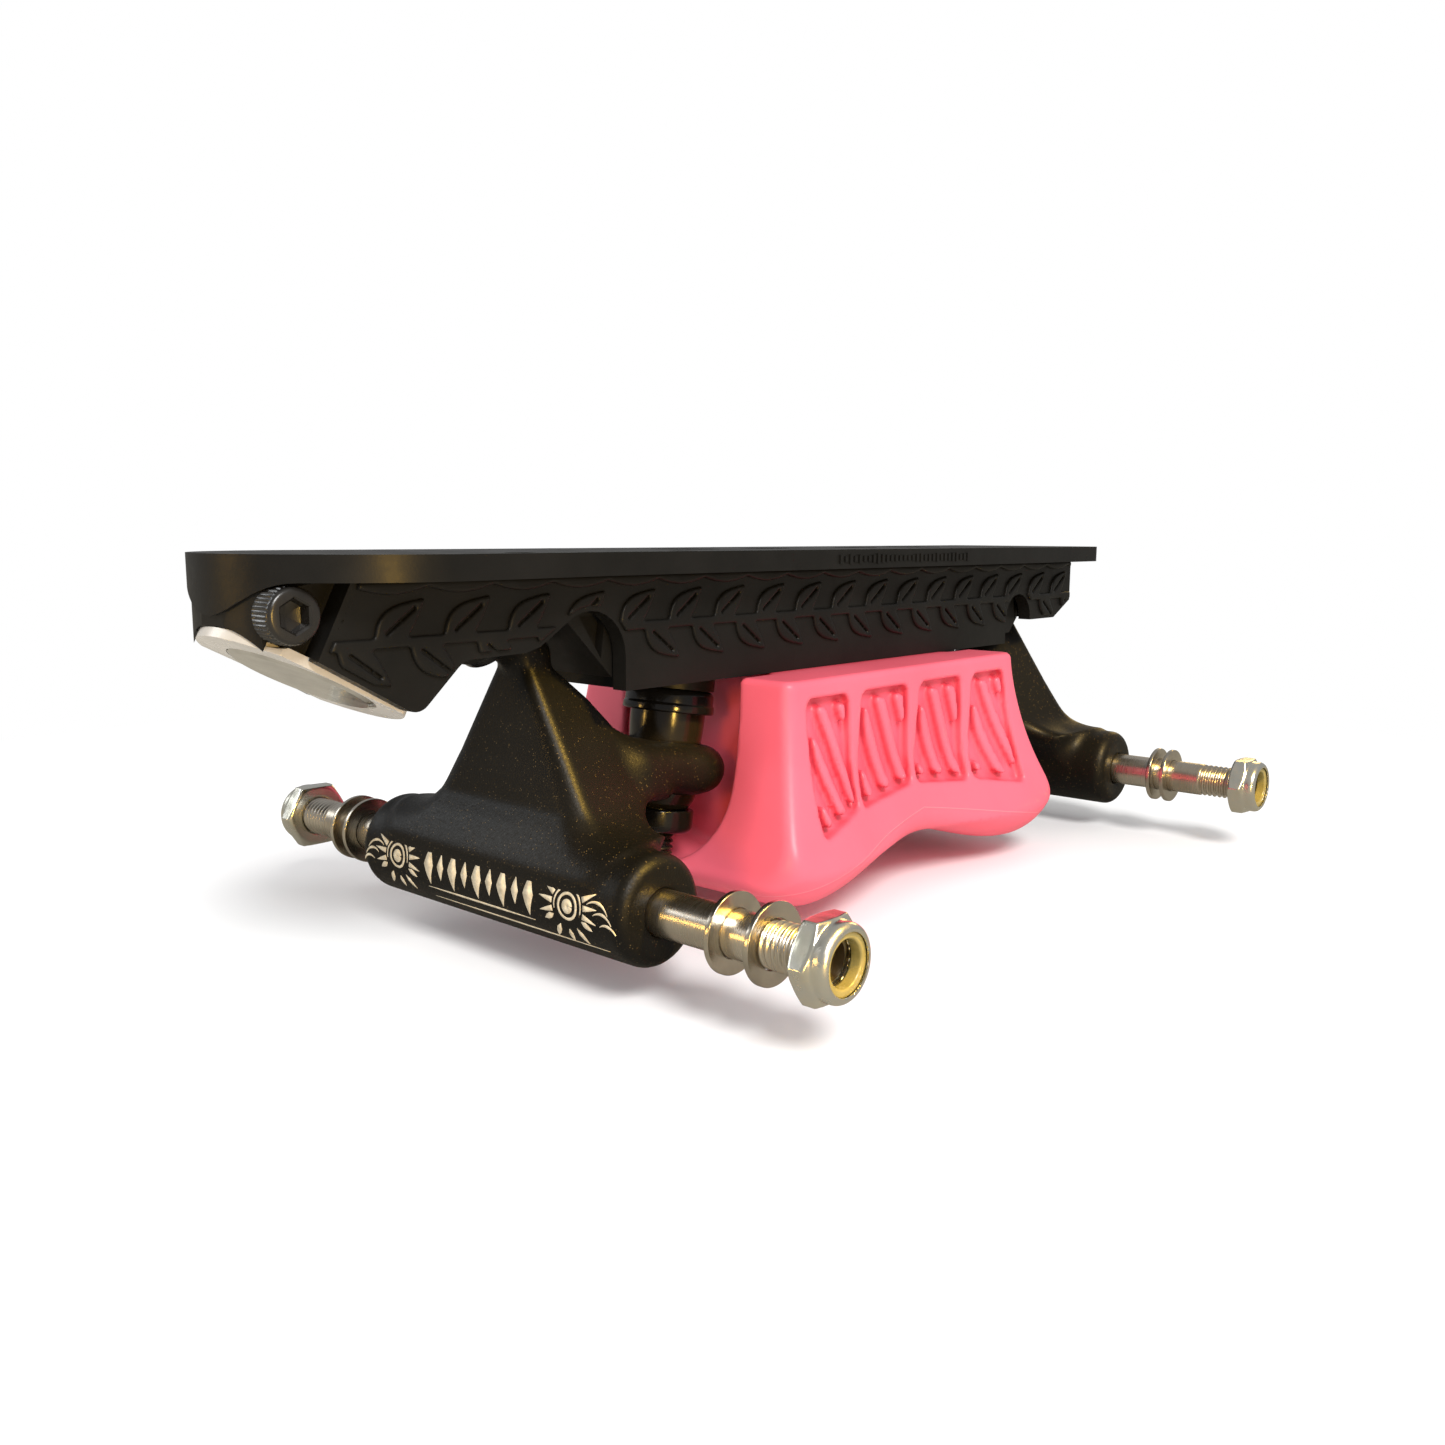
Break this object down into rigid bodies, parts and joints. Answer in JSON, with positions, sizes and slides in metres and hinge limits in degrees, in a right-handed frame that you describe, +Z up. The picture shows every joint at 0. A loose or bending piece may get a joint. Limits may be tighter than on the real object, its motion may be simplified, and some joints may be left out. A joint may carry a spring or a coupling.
{
  "type": "roller skate plate",
  "caption": "Moulded quad roller-skate plate with two cushioned steering trucks, bare axles with lock nuts, a slide block between the trucks and a toe-socket plug.",
  "frame": {"origin": "middle of the footprint, on the ground under the slide block", "axes": "+Z up to the deck, toe towards -Y, heel towards +Y, +X to the side"},
  "size_m": [0.1508, 0.2476, 0.0705],
  "materials": {
    "plate_nylon": "satin moulded nylon",
    "block_plastic": "salmon pink moulded plastic, satin",
    "black_steel": "gloss black",
    "truck_coat": "fine-textured black powder coat",
    "axle_steel": "ground steel",
    "zinc": "bright zinc",
    "nylon_ring": "olive-yellow nylon",
    "washer_steel": "satin steel",
    "urethane": "dark glossy urethane",
    "cup_plastic": "gloss black",
    "plug_pad": "pale cream",
    "plug_metal": "polished",
    "brass": "turned"
  },
  "bodies": {
    "plate": {"baseplate": "plate_nylon", "toe_clamp_bolt": "black_steel", "toe_clamp_insert": "brass", "toe_plug_pad": "plug_pad", "toe_plug_stem": "plug_metal", "slide_block": "block_plastic", "slide_block_bolts": "black_steel", "slide_block_washers": "washer_steel", "slide_block_nuts": "zinc", "front_kingpin": "black_steel", "front_upper_cup_washer": "black_steel", "front_upper_cushion": "urethane", "front_lower_cushion": "urethane", "front_cup_nut": "black_steel", "front_pivot_cup": "cup_plastic", "rear_kingpin": "black_steel", "rear_upper_cup_washer": "black_steel", "rear_upper_cushion": "urethane", "rear_lower_cushion": "urethane", "rear_cup_nut": "black_steel", "rear_pivot_cup": "cup_plastic"},
    "front_truck": {"front_hanger": "truck_coat", "front_axle": "axle_steel", "front_axle_nuts": "zinc", "front_nut_inserts": "nylon_ring"},
    "front_washer_left_inner": {"front_washer_left_inner": "washer_steel"},
    "front_washer_left_outer": {"front_washer_left_outer": "washer_steel"},
    "front_washer_right_inner": {"front_washer_right_inner": "washer_steel"},
    "front_washer_right_outer": {"front_washer_right_outer": "washer_steel"},
    "rear_truck": {"rear_hanger": "truck_coat", "rear_axle": "axle_steel", "rear_axle_nuts": "zinc", "rear_nut_inserts": "nylon_ring"},
    "rear_washer_left_inner": {"rear_washer_left_inner": "washer_steel"},
    "rear_washer_left_outer": {"rear_washer_left_outer": "washer_steel"},
    "rear_washer_right_inner": {"rear_washer_right_inner": "washer_steel"},
    "rear_washer_right_outer": {"rear_washer_right_outer": "washer_steel"}
  },
  "joints": [
    {"name": "front_steer", "type": "hinge", "parent": "plate", "child": "front_truck", "pos_m": [0, -0.02915, 0.0265], "axis": [0, -0.8151, 0.5793], "range_deg": [-10, 10], "stiffness_Nm_per_rad": 12, "deforming": ["front_upper_cushion", "front_lower_cushion"]},
    {"name": "rear_steer", "type": "hinge", "parent": "plate", "child": "rear_truck", "pos_m": [0, 0.06965, 0.0265], "axis": [0, 0.8151, 0.5793], "range_deg": [-10, 10], "stiffness_Nm_per_rad": 12, "deforming": ["rear_upper_cushion", "rear_lower_cushion"]},
    {"name": "front_left_inner_slide", "type": "slide", "parent": "front_truck", "child": "front_washer_left_inner", "axis": [-1, 0, 0], "range_m": [-0.0103, 0.0018]},
    {"name": "front_left_outer_slide", "type": "slide", "parent": "front_truck", "child": "front_washer_left_outer", "axis": [-1, 0, 0], "range_m": [-0.0017, 0.0154]},
    {"name": "front_right_inner_slide", "type": "slide", "parent": "front_truck", "child": "front_washer_right_inner", "axis": [1, 0, 0], "range_m": [-0.0149, 0.0034]},
    {"name": "front_right_outer_slide", "type": "slide", "parent": "front_truck", "child": "front_washer_right_outer", "axis": [1, 0, 0], "range_m": [-0.0035, 0.0074]},
    {"name": "rear_left_inner_slide", "type": "slide", "parent": "rear_truck", "child": "rear_washer_left_inner", "axis": [-1, 0, 0], "range_m": [-0.0109, 0.0034]},
    {"name": "rear_left_outer_slide", "type": "slide", "parent": "rear_truck", "child": "rear_washer_left_outer", "axis": [-1, 0, 0], "range_m": [-0.0035, 0.0114]},
    {"name": "rear_right_inner_slide", "type": "slide", "parent": "rear_truck", "child": "rear_washer_right_inner", "axis": [1, 0, 0], "range_m": [-0.0105, 0.0012]},
    {"name": "rear_right_outer_slide", "type": "slide", "parent": "rear_truck", "child": "rear_washer_right_outer", "axis": [1, 0, 0], "range_m": [-0.0013, 0.0162]}
  ]
}
